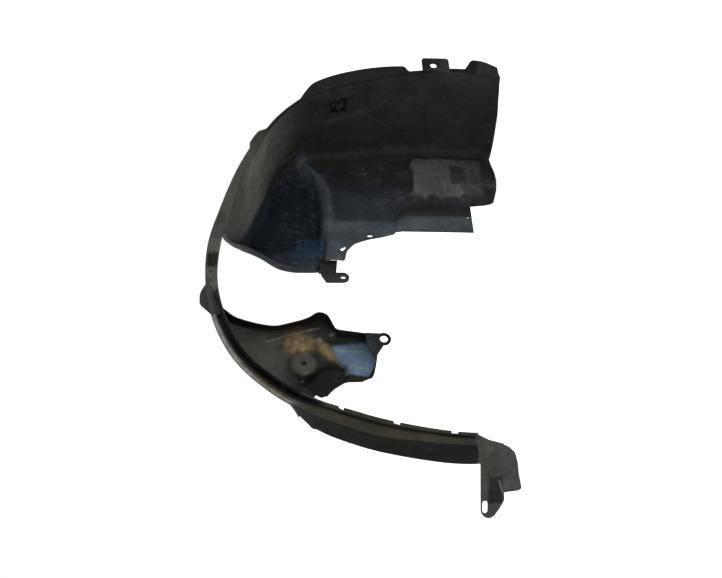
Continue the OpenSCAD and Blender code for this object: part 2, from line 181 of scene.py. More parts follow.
def bead(points, width, height, x, z):
    """Height of a rounded bead along a line."""
    d = near_line(points, x, z) / (width / 2)
    return height * (1 - d * d) ** 2 if d < 1 else 0.0


# ---------------------------------------------------------------- relief pressed into the sheet

# Places that both the relief and the colours use: angles and depths on the tread, angles on the lip, X and Z on the
# wing. A step is how many millimetres a degree takes up there.
CLIP_AT, CLIP_STEP, CLIP_TURNS, CLIP_DEPTHS = (22.5, 58), 6.5, (20.6, 24.4), (38, 80)
CUP_AT, CUP_STEP = (36, 150), 6.7
DENT_TURNS = (94.2, 97.8)
PAD_AT = (-140, 218)

# Side of the pocket, from the tread down to its rim; the ridge beside it follows the same line.
POCKET_SIDE = ((345, 222), (325, 206), (302, 186), (272, 175), (215, 171), (120, 176), (95, 178))
RIDGE = ((338, 208), (318, 196), (296, 175), (268, 163), (214, 158), (150, 162))


# Areas and lines of the inner wall, by X and Z.
FIELD_AREA = ((335, -118), (335, 2), (252, 2), (252, -118))
STEP_AREA = ((338, 8), (338, 46), (256, 46), (256, 8))
SUNK_AREA = ((318, -92), (318, -70), (280, -70), (280, -92))
FIELD_LINE = ((334, -46), (262, -42))
BAY_EDGE_LINE = ((104, 252), (92, 222), (90, 186))


def pocket_side(x):
    """How high the side of the pocket stands at a place along the car."""
    if x > POCKET_SIDE[0][0]:
        return POCKET_SIDE[0][1]
    if x < POCKET_SIDE[-1][0]:
        return POCKET_SIDE[-1][1]
    return next(mix(z0, z1, (x0 - x) / (x0 - x1)) for (x0, z0), (x1, z1) in zip(POCKET_SIDE, POCKET_SIDE[1:])
                if x1 <= x <= x0)


def pocket_depth(x, z):
    side = pocket_side(x)
    floor = ramp(98, 168, x) * (1 - ramp(292, 352, x))
    return POCKET * ramp(side - 2, side + 9, z) * floor


def wall_relief(x, z):
    """How far the inner wall is pressed in, away from the wheel, at a place on it."""
    deep = pocket_depth(x, z)
    deep -= bead(RIDGE, 22, 4, x, z)
    deep -= FIELD * patch(FIELD_AREA, 9, x, z)
    deep += 2.5 * patch(STEP_AREA, 5, x, z)
    deep += 2 * patch(SUNK_AREA, 2.5, x, z)
    deep -= bead(FIELD_LINE, 6, 1.2, x, z)
    deep -= bead(BAY_EDGE_LINE, 7, 3, x, z)
    return deep


WING_FACE = ((-101, 171), (-110, 169), (-148, 150), (-156, 118), (-131, 105), (-98, 106))
WING_HOLLOW = ((-136, 152), (-143, 185), (-149, 201), (-168, 224), (-192, 192), (-162, 152))
WING_DIP = ((-62, 176), (-84, 172), (-104, 222), (-102, 250), (-80, 268), (-68, 224))
PAD_RIDGE = ((-166, 219), (-181, 233))
PAD_HEIGHT, PAD_R, PAD_FOOT_R = 5, 20, 25
# Ridges of the wing: their lines, widths and heights.
WING_RIDGES = ((((-104, 252), (-107, 224), (-88, 176), (-97, 118)), 11, 4),
               (((-140, 100), (-146, 118), (-160, 128)), 8, 2),
               (((-163, 118), (-171, 150), (-180, 170), (-204, 190)), 9, 2.5))


def wing_relief(x, z):
    """The same on the wing behind the wheel: ridges, a sunk face and a raised pad."""
    deep = 9 * patch(WING_FACE, 8, x, z)
    deep += 8 * patch(WING_HOLLOW, 7, x, z)
    deep += 4 * patch(WING_DIP, 5, x, z)
    for points, width, height in WING_RIDGES:
        deep -= bead(points, width, height, x, z)
    around = hypot(x - PAD_AT[0], z - PAD_AT[1])
    deep = mix(-PAD_HEIGHT, deep, ramp(PAD_R, PAD_FOOT_R, around))
    return deep - bead(PAD_RIDGE, 6, 3, x, z)


CUP_AREA = ((-19, -5), (17, -7), (19, 5), (-17, 7))
LEDGE_LINE, LEDGE_STEP = ((-44, 180), (46, 181)), 6.3


def cup_place(a, y):
    """Distances from the middle of the pressed cup, round the arch and across it."""
    turn, across = a - CUP_AT[0], y - CUP_AT[1]
    return turn * CUP_STEP, across - 0.1 * turn * CUP_STEP


def tread_relief(a, y):
    """How far the tread is pressed out at an angle and a depth."""
    out = CLIP_RECESS * band(15, 25.2, 1.3, a) * band(36, 84, 6, y - 1.6 * (a - 20))
    out += 4 * band(*CLIP_TURNS, 0.5, a) * band(*CLIP_DEPTHS, 3, y)
    out += 8 * patch(CUP_AREA, 3, *cup_place(a, y))
    out -= 1.5 * bead(LEDGE_LINE, 7, 1, a * LEDGE_STEP, y)
    out += 5 * (1 - ramp(FIRST, FIRST + 4, a)) * ramp(10, 40, y)
    return out


def lip_relief(a, s):
    """How far the lip is pressed in: a channel and a bead behind the crown, from its tip, 0, to its crease, 1."""
    deep = GROOVE * ramp(104, 110, a) * (1 - ramp(140, 148, a))
    deep *= band(0.5, 0.82, 0.14, s) - 0.28 * band(0.1, 0.3, 0.14, s)
    deep += 3 * ramp(143, 150, a) * band(0.6, 0.72, 0.16, s)
    deep += 3 * band(81.5, 84.5, 0.7, a) * band(0.3, 0.75, 0.15, s)
    deep += 2 * band(*DENT_TURNS, 0.8, a) * band(0.4, 0.8, 0.15, s)
    return deep


def arch(radius, a, y):
    """A place by its distance from the arch's centre line, its angle and its depth."""
    return Vector((radius * cos(radians(a)), y, radius * sin(radians(a))))


def round_way(a):
    """The way that runs round the arch at an angle."""
    return Vector((-sin(radians(a)), 0, cos(radians(a))))


def tread_corner(a):
    return arch(at("tread", a), a, at("depth", a))


def wall_edge(a):
    w = at("wall_share", a)
    hem = arch(at("tread", a) - HEM, a, at("depth", a))
    return mix(hem, Vector((at("wall_end", a), hem.y, at("wall_end", a, 2))), w)


def wall_point(a, t):
    p = mix(tread_corner(a), wall_edge(a), t)
    relief = wall_relief(p.x, p.z) if a < 90 else wing_relief(p.x, p.z)
    return p + Vector((0, at("wall_share", a) * relief, 0))


def tread_point(a, t):
    y = t * at("depth", a)
    return arch(mix(at("lip", a), at("tread", a), t) + tread_relief(a, y), a, y)


def corner_share(a):
    """Share of the tread and of the wall that the fillet between them takes up."""
    w = at("wall_share", a)
    return mix(4, BAY_FILLET, w) / at("depth", a), mix(0.4, BAY_FILLET / 140, w)


def edge_point(a, t):
    turned = Vector((at("edge_turn", a), at("edge_turn", a, 3), at("edge_turn", a, 2)))
    return wall_point(a, 1) + t * mix(Vector((0, -HEM_EDGE, 0)), turned, at("wall_share", a))


def skin(a, s):
    """The middle of the sheet: s is 0 at the tip of the lip, 1 at its crease, 2 where the tread meets the wall,
    3 at the wall's end and 4 at the tip of the edge that turns out from it."""
    tread_part, wall_part = corner_share(a)
    if s < 1:
        return arch(at("lip", a) + (1 - s) * at("lip_width", a), a, lip_relief(a, s))
    if s < FILLET_FROM:
        return tread_point(a, (s - 1) / FLAT_SPAN * (1 - tread_part))
    if s <= FILLET_TO:
        t = (s - FILLET_FROM) / FILLET_SPAN
        start, end = tread_point(a, 1 - tread_part), wall_point(a, wall_part)
        return start * (1 - t) ** 2 + tread_corner(a) * 2 * t * (1 - t) + end * t * t
    if s <= 3:
        return wall_point(a, mix(wall_part, 1, (s - FILLET_TO) / FLAT_SPAN))
    return edge_point(a, s - 3)


def sheet_point(a, s):
    """skin() with its two ends cut off square, as the real sheet's are."""
    front = 1 - ramp(0, LEAN_SPAN, a - FIRST)
    rear = 1 - ramp(0, LEAN_SPAN, LAST - a)
    bow = at("front_bow", s) * front
    leaning = round(a + at("front_lean", s) * front + at("rear_lean", s) * rear, 4)
    return skin(leaning, s) - Vector((0, 0, bow))


# ---------------------------------------------------------------- making meshes

# Rows of the sheet's grid along its section: from, to and how many.
ROW_SPANS = ((0, 1, 14), (1, FILLET_FROM, 44), (FILLET_FROM, FILLET_TO, 8), (FILLET_TO, 3, 34), (3, 4, 8))
STATION_STEP = 0.5
CORNER_STEPS = 7
MERGE = 0.02  # points nearer to each other than this become one
SHARP_EDGE = radians(38)


def new_object(name, bm):
    mesh = bpy.data.meshes.new(name)
    bm.to_mesh(mesh)
    bm.free()
    piece = bpy.data.objects.new(name, mesh)
    bpy.context.scene.collection.objects.link(piece)
    return piece


def settle(piece):
    """Turns a piece's modifiers into its mesh."""
    shape = piece.evaluated_get(bpy.context.evaluated_depsgraph_get())
    mesh = bpy.data.meshes.new_from_object(shape)
    piece.modifiers.clear()
    piece.data = mesh


def combine(piece, other, operation):
    """Joins a second solid to a piece, cuts it out or keeps only what both fill, and removes the second solid."""
    tool = piece.modifiers.new(operation.lower(), "BOOLEAN")
    tool.operation = operation
    tool.solver = "EXACT"
    tool.object = other
    settle(piece)
    bpy.data.objects.remove(other)


def thicken(piece, thickness=WALL, offset=0.0):
    wall = piece.modifiers.new("wall", "SOLIDIFY")
    wall.thickness = thickness * MM
    wall.offset = offset
    wall.use_even_offset = True
    wall.thickness_clamp = 1.2  # keeps the even offset from shooting out at tight folds
    settle(piece)


def sheet(name, columns, rows, move):
    """A grid of so many columns and rows whose points move() puts in place, by their shares of the two ways."""
    bm = bmesh.new()
    bmesh.ops.create_grid(bm, x_segments=columns, y_segments=rows, size=0.5)
    for v in bm.verts:
        v.co = place(move(v.co.x + 0.5, v.co.y + 0.5))
    return new_object(name, bm)


def slab(name, outline, spot, along, corners=()):
    """A flat plate: an outline, the place of each of its points, and the way that it is thick. corners lists which
    points are rounded, and how far."""
    bm = bmesh.new()
    ring = [bm.verts.new(place(spot(u, v))) for u, v in outline]
    bm.faces.new(ring)
    for radius in sorted({r for _, r in corners}):
        bmesh.ops.bevel(bm, geom=[ring[i] for i, r in corners if r == radius], offset=radius * MM,
                        segments=CORNER_STEPS, profile=0.5, affect="VERTICES", material=-1)
    grown = bmesh.ops.extrude_face_region(bm, geom=list(bm.faces))
    far_side = [g for g in grown["geom"] if isinstance(g, bmesh.types.BMVert)]
    bmesh.ops.translate(bm, vec=Vector(along) * MM, verts=far_side)
    bmesh.ops.recalc_face_normals(bm, faces=bm.faces)
    return new_object(name, bm)


def arc(centre, radius, start, stop, steps=16):
    """Points of an arc in a plane, from one angle to another, in degrees."""
    turns = [radians(mix(start, stop, k / steps)) for k in range(steps + 1)]
    return [(centre[0] + radius * cos(t), centre[1] + radius * sin(t)) for t in turns]


def slot_outline(length, width):
    """A slot with round ends, about its middle."""
    half = (length - width) / 2
    return arc((half, 0), width / 2, -90, 90, 10) + arc((-half, 0), width / 2, 90, 270, 10)


def upright(u, v, y=0):
    """A place on an upright plane across the car, by X and Z."""
    return Vector((u, y, v))


def bore(name, centre, radius, depth=60, turn=0.0, steps=28):
    """A round cutter that lies along Y, or turned from it about Z."""
    back = Vector((sin(turn), cos(turn), 0))
    side = Vector((cos(turn), -sin(turn), 0))
    return slab(name, arc((0, 0), radius, 0, 360 - 360 / steps, steps - 1),
                lambda u, v: Vector(centre) - back * depth / 2 + side * u + Vector((0, 0, v)), back * depth)


# ---------------------------------------------------------------- the sheet

def row_at(share):
    """The place along the section of a row of the grid, which is given by its share of all the rows."""
    total = sum(n for _, _, n in ROW_SPANS)
    k = round(share * total)
    for low, high, n in ROW_SPANS:
        if k <= n:
            return mix(low, high, k / n)
        k -= n
    return 4


stations = round((LAST - FIRST) / STATION_STEP)
moulding = sheet("liner_moulding", stations, sum(n for _, _, n in ROW_SPANS),
                 lambda u, v: sheet_point(FIRST + round(u * stations) * STATION_STEP, row_at(v)))
thicken(moulding)

# ---------------------------------------------------------------- tabs, eye, fin and end plate

TAB_WALL, TAB_ROOT, TAB_END, TAB_LOW, TAB_HIGH = 2.6, 374, 407, -48, 0
tab = slab("upper_tab", ((TAB_ROOT, TAB_LOW), (TAB_END, TAB_LOW), (TAB_END, TAB_HIGH), (TAB_ROOT, TAB_HIGH)),
           lambda u, v: upright(u, v, -TAB_WALL / 2), (0, TAB_WALL, 0), ((1, 6), (2, 6)))

EYE_AT, EYE_R, EYE_DEPTH = (-103, 91), 11.5, WING_DEPTH - WING_RIM
eye = slab("eye", [(-91, 120), (-112, 118), (-140, 108)] + arc(EYE_AT, EYE_R, 175, 385, 30),
           lambda u, v: upright(u, v, EYE_DEPTH), (0, WALL, 0))

pad_back = bore("pad_back", (PAD_AT[0], WING_DEPTH - 3, PAD_AT[1]), 7, 4)
FOOT_AT = Vector((77, BAY_DEPTH - FOOT_SLOPE, 166))
FOOT_STEP, FOOT_LEN, FOOT_W = 28, 48, 21
NECK_LEN = FOOT_STEP + WALL
neck = slab("neck", ((-13, 0), (17, 0), (17, NECK_LEN), (-13, NECK_LEN)),
            lambda u, v: FOOT_AT + Vector((mix(4, -0.5, v / NECK_LEN), v, u)), (WALL, 0, 0))
foot_end = arc((FOOT_LEN - FOOT_W / 2, -FOOT_W / 2), FOOT_W / 2, -90, 90, 16)
foot = slab("foot_tab", [(FOOT_W * 0.4, -FOOT_W)] + foot_end + [(0, 0), (0, -FOOT_W * 0.3)],
            lambda u, v: FOOT_AT + Vector((1.5 + v, FOOT_STEP, 13 - u)), (0, WALL, 0))

fin = slab("fin", ((-76, 354), (-80, 368), (-97, 377), (-117, 377), (-138, 357), (-134, 342)),
           lambda u, v: upright(u, v, 4), (0, WALL, 0), ((2, 7), (3, 5)))

CLIP_OUT, CLIP_ROUND = arch(1, CLIP_AT[0], 0), round_way(CLIP_AT[0])


def clip_spot(radius):
    """Places round the clip's seat on the tread, by depth and by distance round the arch."""
    return lambda u, v: CLIP_OUT * radius + CLIP_ROUND * v + Vector((0, CLIP_AT[1] + u, 0))


CLIP_RING = arc((0, 0), 7.5, 0, 345, 23)
clip_seat = slab("clip_seat", CLIP_RING, clip_spot(372.5), CLIP_OUT * 8)
clip_hole = slab("clip_hole", [(u / 2, v / 2) for u, v in CLIP_RING], clip_spot(371), CLIP_OUT * 4)
combine(clip_seat, clip_hole, "DIFFERENCE")

PLATE_AT, PLATE_TURN = Vector((-347, 0, 0)), radians(143)
PLATE_ALONG = Vector((cos(PLATE_TURN), sin(PLATE_TURN), 0))
PLATE_BACK = Vector((sin(PLATE_TURN), -cos(PLATE_TURN), 0))
LONG_FINGER = ((-4, 10), (8, 10), (12, 11), (40, 14.5), (106, 15), (112, 20), (115, 27), (111, 35), (102, 42),
               (88, 50), (78, 49), (60, 42), (10, 48), (4, 26))
SHORT_FINGER = ((9, 42), (14, 55), (23, 65), (38, 69), (54, 71), (66, 74), (75, 76), (78, 72), (80, 51), (77, 47),
                (56, 40))
PLATE_POCKET = ((47, 30), (54, 27), (92, 28), (90, 41), (80, 44), (50, 45), (44, 41), (44, 34))
BLANK_FROM, BLANK_THICK = -30, 70  # the solids that trim the plate reach well past it on both sides


def plate_spot(u, d, deep=0.0):
    """A place on the end plate, by how far it lies along it, down it and back from it."""
    return PLATE_AT + PLATE_ALONG * u - Vector((0, 0, d)) + PLATE_BACK * deep


def plate_relief(u, d):
    """How far the end plate is pressed back: a pocket on the long finger, a fold to the short one, and its hook."""
    deep = 4 * patch(PLATE_POCKET, 4, u, d)
    deep += 3 * ramp(84, 98, u) * ramp(22, 40, d)
    deep += 0.22 * max(0, d - 44) * (1 - ramp(84, 90, u))
    deep += 5 * ramp(67, 77, d) * (1 - ramp(84, 90, u)) * ramp(14, 30, u)
    deep += 9 * ramp(74.5, 80, u) * ramp(47, 52, d)
    return deep


def end_plate_point(u, v):
    along, down = mix(-6, 118, u), mix(6, 82, v)
    return plate_spot(along, down, plate_relief(along, down) + WALL / 2)


end_plate = sheet("end_plate", 82, 50, end_plate_point)
thicken(end_plate)
blank = slab("blank", LONG_FINGER, lambda u, d: plate_spot(u, d, BLANK_FROM), PLATE_BACK * BLANK_THICK,
             ((4, 3), (6, 4), (8, 4), (9, 4)))
short_blank = slab("short_blank", SHORT_FINGER, lambda u, d: plate_spot(u, d, BLANK_FROM - 1),
                   PLATE_BACK * (BLANK_THICK + 2), ((1, 4), (2, 4), (6, 2), (7, 2)))
combine(blank, short_blank, "UNION")
combine(end_plate, blank, "INTERSECT")

for part in (tab, eye, pad_back, neck, foot, clip_seat, fin, end_plate):
    combine(moulding, part, "UNION")

# ---------------------------------------------------------------- holes and slots

WING_CUT = ((-145, 95), (-163, 112), (-170, 128), (-172, 155), (-181, 171), (-204, 189), (-250, 232), (-262, 250),
            (-330, 260), (-380, 60), (-150, 60))
WING_CORNER, WING_CORNER_TURN = ((-18, 146), (3, 108), (12, 108), (12, 146)), 137
WING_CORNER_FROM, WING_CORNER_THICK = 270, 90
FOOT_TILT, FOOT_HOLE_R, CORNER_HOLE_R = radians(-25), 5, 2.5
TAB_HOLE_R, EYE_HOLE_R, PAD_HOLE_R = 6, 6.5, 4.5
SLOT_TURNS = (149.5, 162.7, 176.5)

# The corner where the hem behind the wing runs into the lip, from inside the arch outward.
corner_from, corner_out = arch(WING_CORNER_FROM, WING_CORNER_TURN, 0), arch(WING_CORNER_THICK, WING_CORNER_TURN, 0)
corner_round = round_way(WING_CORNER_TURN)

cutters = [
    slab("wing_cut", WING_CUT, lambda u, v: upright(u, v, REAR_DEPTH + 2.5), (0, 100, 0), ((3, 6), (5, 8))),
    bore("tab_hole", TAB_HOLE_AT, TAB_HOLE_R, 30),
    bore("eye_hole", (EYE_AT[0], EYE_DEPTH, EYE_AT[1]), EYE_HOLE_R, 20),
    bore("foot_hole", (142, 165, 93), FOOT_HOLE_R, 30, FOOT_TILT),
    bore("foot_hole", (115, 164, 141), FOOT_HOLE_R, 30, FOOT_TILT),
    bore("corner_hole", (190, BAY_DEPTH - 10, -86), CORNER_HOLE_R, 40, FOOT_TILT),
    bore("pad_hole", (PAD_AT[0], WING_DEPTH - 6, PAD_AT[1]), PAD_HOLE_R, 8),
    slab("foot_slot", slot_outline(8, 5), lambda u, v: FOOT_AT + Vector((v - 9, 20, -24.5 + u)), (0, 20, 0)),
    slab("finger_slot", slot_outline(17, 7.5), lambda u, v: plate_spot(98 + u, 21 + v, -10), PLATE_BACK * 24),
    slab("wing_corner", WING_CORNER, lambda u, v: corner_from + corner_round * u + Vector((0, v, 0)), corner_out),
]
for turn in SLOT_TURNS:
    centre = arch(at("lip", turn) + 0.75, turn, -8)
    cutters.append(slab("lip_slot", slot_outline(11, 4),
                        lambda u, v, c=centre, o=arch(1, turn, 0), r=round_way(turn): c + r * u + o * v, (0, 16, 0)))
for cutter in cutters:
    combine(moulding, cutter, "DIFFERENCE")

bm = bmesh.new()
bm.from_mesh(moulding.data)
bmesh.ops.remove_doubles(bm, verts=bm.verts, dist=MERGE * MM)
for v in bm.verts:  # the finer steps of this sheet would swell half a millimetre past the solid's box
    v.co = [max(low, min(high, c)) for low, c, high in zip(CAD_BOX[0], v.co, CAD_BOX[1])]
bmesh.ops.recalc_face_normals(bm, faces=bm.faces)
for face in bm.faces:
    face.smooth = True
bm.to_mesh(moulding.data)
bm.free()
moulding.data.set_sharp_from_angle(angle=SHARP_EDGE)


# ---------------------------------------------------------------- where dust, clay and scuffs lie, and where shade, highlights and reflections are painted

def linear(code):
    """An sRGB hex colour as linear red, green and blue."""
    values = [int(code[i:i + 2], 16) / 255 for i in (1, 3, 5)]
    return [v / 12.92 if v <= 0.04045 else ((v + 0.055) / 1.055) ** 2.4 for v in values]


TREAD_GREY, TREAD_WARM_LIT, REAR_TREAD_SHADE = "#2e2d2a", "#6a6965", "#090807"
BACK_GREY = "#2c2b29"
WALL_COOL, WALL_DARK, POCKET_BLUE, POCKET_SKYLIT_BLUE = "#2f3439", "#2a2b2d", "#1d242d", "#324252"
FIELD_GREY, SKYLIT_BLUE_GREY, STRIP_DUST, FIN_GREY = "#5b5a59", "#4c5359", "#4b4a45", "#3a3a39"
LIP_DUSTY, CHANNEL_SHADE, BEAD_HIGHLIGHT, BROWN_CLAY = "#14130f", "#12110f", "#8f8c84", "#33270f"
WING_GREY, WING_CLAY, WING_SKY_REFLECTION, WING_SHADE = "#24241f", "#8b7853", "#63788f", "#151313"
PLATE_DUST, PLATE_SKY_LIT, PLATE_LOW, REAR_DUST = "#454440", "#484a4b", "#1f1e1b", "#36322a"
SHADE_BLACK, RIM_HIGHLIGHT, CORNER_GREY, WING_HIGHLIGHT = "#060605", "#84888c", "#242424", "#8b8a84"
WING_PALE, FOOT_GREY, RUBBED_BLUE, BOARD_WHITE = "#52524d", "#3d3d3a", "#5c6670", "#e8e8e6"
PLAIN_GLOSS, PLAIN_SCUFF = 0.2, 0.1
WALL_GLOSS, WALL_SCUFF = 0.5, 0.8
WING_GLOSS, BLUE_GLOSS, WING_SCUFF = 0.35, 0.95, 0.3
PLATE_GLOSS, PLATE_SCUFF, LIP_SCUFF = 0.3, 0.2, 0.2

# Where these colours lie: on the bay's wall and on the wing by X and Z, on the end plate along and down it.
RUBBED_AREA = ((338, -80), (338, 0), (250, 0), (250, -80))
DUSTY_AREA = ((330, -120), (330, -70), (256, -70), (256, -120))
SUNK_SHADE_AREA = ((318, -94), (318, -68), (278, -68), (278, -94))
POCKET_LIT_FACET = ((112, 172), (168, 176), (160, 212), (114, 232))
CUP_SHADE = ((-17, -4), (15, -6), (17, 4), (-15, 6))
CLAY_AT, CLAY_LINE = (-98, 226), ((-108, 184), (-122, 170), (-128, 156))
PLATE_SHADE, PLATE_SHINE = ((58, 30), (92, 28), (92, 44), (58, 45)), ((62, 42), (80, 47))
STRAP_DOTS, STRAP_STEP = (99.6, 101.8, 104, 105.6), 6.2
WING_HIGHLIGHT_LINES = (((-95, 275), (-78, 225), (-70, 195)), ((-98, 201), (-83, 169), (-90, 105)), ((-169, 224), (-154, 213)),
              ((-105, 166), (-110, 118), (-126, 102)), ((-131, 150), (-141, 118)), ((-152, 152), (-160, 120)))


def mixed(colour, code, share):
    return [mix(c, n, share) for c, n in zip(colour, linear(code))]


def coated(colour, *coats):
    """A colour with others laid over it one by one, each by its share."""
    for code, share in coats:
        colour = mixed(colour, code, share)
    return colour


def polar(p):
    """The angle of a place round the arch, from -90 to 270 degrees, and its distance from the centre line."""
    a = degrees(atan2(p.z, p.x)) % 360
    return a - 360 if a > 270 else a, hypot(p.x, p.z)


def bay_tone(p, a, r):
    """Colour, gloss and scuffs from the foot of the bay to the crown."""
    x, y, z = p
    if y < 3 and r > at("lip", a) - 1:
        colour = coated(linear(LIP_DUSTY), (CORNER_GREY, 1 - ramp(-14.4, -13.4, a)),
                        # painted shade in the recess beside the tab
                        (SHADE_BLACK, band(-14, -10, 0.3, a)), (STRIP_DUST, 0.7 * ramp(46, 60, a)))
        return colour, PLAIN_GLOSS, PLAIN_SCUFF
    on_wall = ramp(178, 186, y) * (1 - ramp(340, 352, r)) if a < 30 else ramp(150, 185, y)
    side = pocket_side(x)
    worn = 9 * noise.noise(p / 16)
    field = patch(RUBBED_AREA, 5, x + worn, z - worn)
    colour = coated(
        linear(TREAD_GREY),
        # painted light: the tread's warm grey, lightened here to lift the shade that falls inside the arch
        (TREAD_WARM_LIT, ramp(30, 58, a) * (1 - 0.5 * ramp(62, 70, a))),
        (WALL_DARK, on_wall),
        (WALL_COOL, on_wall * ramp(20, 70, z) * ramp(285, 240, x)),
        (POCKET_BLUE, ramp(196, 206, y) * ramp(160, 180, z)),
        # painted light: the facet of the pocket that faces up is painted a paler blue
        (POCKET_SKYLIT_BLUE, patch(POCKET_LIT_FACET, 4, x, z) * on_wall),
        # painted highlight along the ridge, in a pale blue-grey
        (SKYLIT_BLUE_GREY, 0.8 * bead(RIDGE, 26, 1, x, z) * on_wall),
        # painted light on the pocket's side, lifting the shade on its slope
        (SKYLIT_BLUE_GREY, 0.7 * band(side - 3, side + 8, 3, z) * ramp(170, 290, x) * on_wall),
        (FIELD_GREY, field * on_wall),
        (FIELD_GREY, 0.4 * patch(DUSTY_AREA, 9, x, z)),
        # painted shade in the sunk area of the wall
        (WALL_DARK, patch(SUNK_SHADE_AREA, 3, x, z) * on_wall),
        # painted light on the flange that turns up at the foot of the bay
        (SKYLIT_BLUE_GREY, ramp(196, 186, x) * (1 - ramp(158, 176, z)) * ramp(150, 165, y)),
    )
    # painted shade on the neck below the foot tab; the tab itself is grey
    if x < 85 and z < 188 and y > 157:
        colour = coated(linear(SHADE_BLACK), (FOOT_GREY, ramp(184, 187, y)))
    clip = band(*CLIP_TURNS, 0.3, a) * band(*CLIP_DEPTHS, 2, y)
    # painted highlight on the rim of the clip's seat
    clip_rim_highlight = band(4.5, 6.5, 1.2, hypot((a - CLIP_AT[0]) * CLIP_STEP, y - CLIP_AT[1]))
    cup = patch(CUP_SHADE, 2, *cup_place(a, y))
    # painted shade in the clip's seat and in the cup, with a painted highlight on the seat's rim
    colour = coated(colour, (SHADE_BLACK, 0.85 * clip), (RIM_HIGHLIGHT, 0.6 * clip_rim_highlight * clip), (SHADE_BLACK, 0.7 * cup))
    return colour, mix(PLAIN_GLOSS, WALL_GLOSS, on_wall), mix(PLAIN_SCUFF, WALL_SCUFF, on_wall)


def wing_tone(p):
    """The same on the wing behind the wheel."""
    x, y, z = p
    clay = 0.8 * (1 - ramp(10, 36, hypot(x - CLAY_AT[0], z - CLAY_AT[1]))) * (0.8 + noise.noise(p / 7))
    clay += 0.9 * (1 - ramp(3, 15, near_line(CLAY_LINE, x, z)))
    sky_reflection = patch(WING_FACE, 4, x, z)
    line = max(bead(points, 4.5, 1, x, z) for points in WING_HIGHLIGHT_LINES)
    around = hypot(x - PAD_AT[0], z - PAD_AT[1])
    colour = coated(
        linear(WING_GREY),
        # painted light: the wing grows paler towards the lip
        (WING_PALE, 0.8 * ramp(225, 270, z)),
        (WING_CLAY, max(0, min(1, clay))),
        # painted reflection of the sky on the wing's sunk glossy face
        (WING_SKY_REFLECTION, sky_reflection),
        (WING_SHADE, patch(WING_HOLLOW, 4, x, z)),
        # painted highlights along the wing's ridges
        (WING_HIGHLIGHT, 0.6 * line),
        (WING_PALE, 0.7 * (1 - ramp(18, 22, around))),
        (WING_SHADE, ramp(5, 12, WING_DEPTH - y) * (0.9 if around > 24 else 0)),
    )
    return colour, mix(WING_GLOSS, BLUE_GLOSS, sky_reflection), WING_SCUFF


def rear_tone(p, a, r):
    """The same behind the crown: the tread and the lip with its channel, bead and dent."""
    y, lip = p.y, at("lip", a)
    if y >= 16 or r <= lip - 2:
        dust = 0.6 * (band(30, 33, 5, y) + band(60, 62, 6, y)) * ramp(144, 156, a)
        # painted shade: the tread darkens towards the rear, where it lies deep and shadowed
        colour = coated(linear(TREAD_GREY), (REAR_TREAD_SHADE, ramp(98, 108, a)), (REAR_DUST, dust))
        return colour, PLAIN_GLOSS, PLAIN_SCUFF
    across = 1 - (r - lip) / at("lip_width", a)
    behind = band(106, 139, 2, a)
    bright = (1 - 0.4 * ramp(122, 138, a)) * (0.85 + 0.6 * noise.noise(p / 11))
    dot = min(hypot((a - dot_a) * STRAP_STEP, r - lip - 9) for dot_a in STRAP_DOTS)
    colour = coated(
        linear(STRIP_DUST),
        # painted shade in the channel behind the crown
        (CHANNEL_SHADE, behind * ramp(0.38, 0.46, across)),
        # painted highlight along the rounded bead, mottled
        (BEAD_HIGHLIGHT, min(1, behind * (1 - ramp(0.18, 0.28, across)) * bright)),
        (BROWN_CLAY, 0.8 * band(127, 138, 3, a) * band(0.2, 0.5, 0.1, across)),
        (REAR_DUST, ramp(139, 143, a)),
        # painted shade along the small groove that runs on behind the channel
        (SHADE_BLACK, ramp(138, 141, a) * band(0.68, 0.76, 0.06, across)),
        # painted shade in the dent
        (CHANNEL_SHADE, 0.9 * band(*DENT_TURNS, 0.5, a) * band(0.2, 0.9, 0.15, across)),
        # painted shade where the channel begins
        (SHADE_BLACK, band(107.2, 109, 0.4, a) * ramp(0.25, 0.4, across)),
        # dark dots along the strap, in the same near-black
        (SHADE_BLACK, 1 - ramp(1, 2.2, dot)),
    )
    return colour, PLAIN_GLOSS, LIP_SCUFF


def plate_tone(p):
    """The same on the end plate."""
    down, along = -p.z, (p - PLATE_AT).dot(PLATE_ALONG)
    colour = coated(
        linear(PLATE_DUST),
        # painted light: the short finger, turned up a little, is painted bluish
        (PLATE_SKY_LIT, ramp(40, 50, down) * (1 - ramp(84, 90, along))),
        (PLATE_LOW, 0.9 * patch(PLATE_SHADE, 3, along, down)),
        # painted shade in the step of the hook
        (SHADE_BLACK, 0.8 * ramp(75.5, 77, along) * ramp(48, 52, down)),
        # painted highlight along the edge of the plate's pocket
        (RIM_HIGHLIGHT, 0.7 * bead(PLATE_SHINE, 3, 1, along, down)),
    )
    return colour, PLATE_GLOSS, PLATE_SCUFF


def on_plate(p):
    return p.x < -340 and p.z < -8 and ((p - PLATE_AT).dot(PLATE_BACK) < 6 or p.z < -24)


def on_fin(p, r):
    return p.y < 8 and p.z > 350 and -142 < p.x < -74 and r > at("lip", 100) + 14


def on_back(p, a, r, normal):
    """Whether a place faces in or, on the tread, out from the arch, away from the wheel."""
    outward = (normal.x * p.x + normal.z * p.z) / r if r > at("tread", a) - 8 else 0
    return max(normal.y, outward) > 0.5


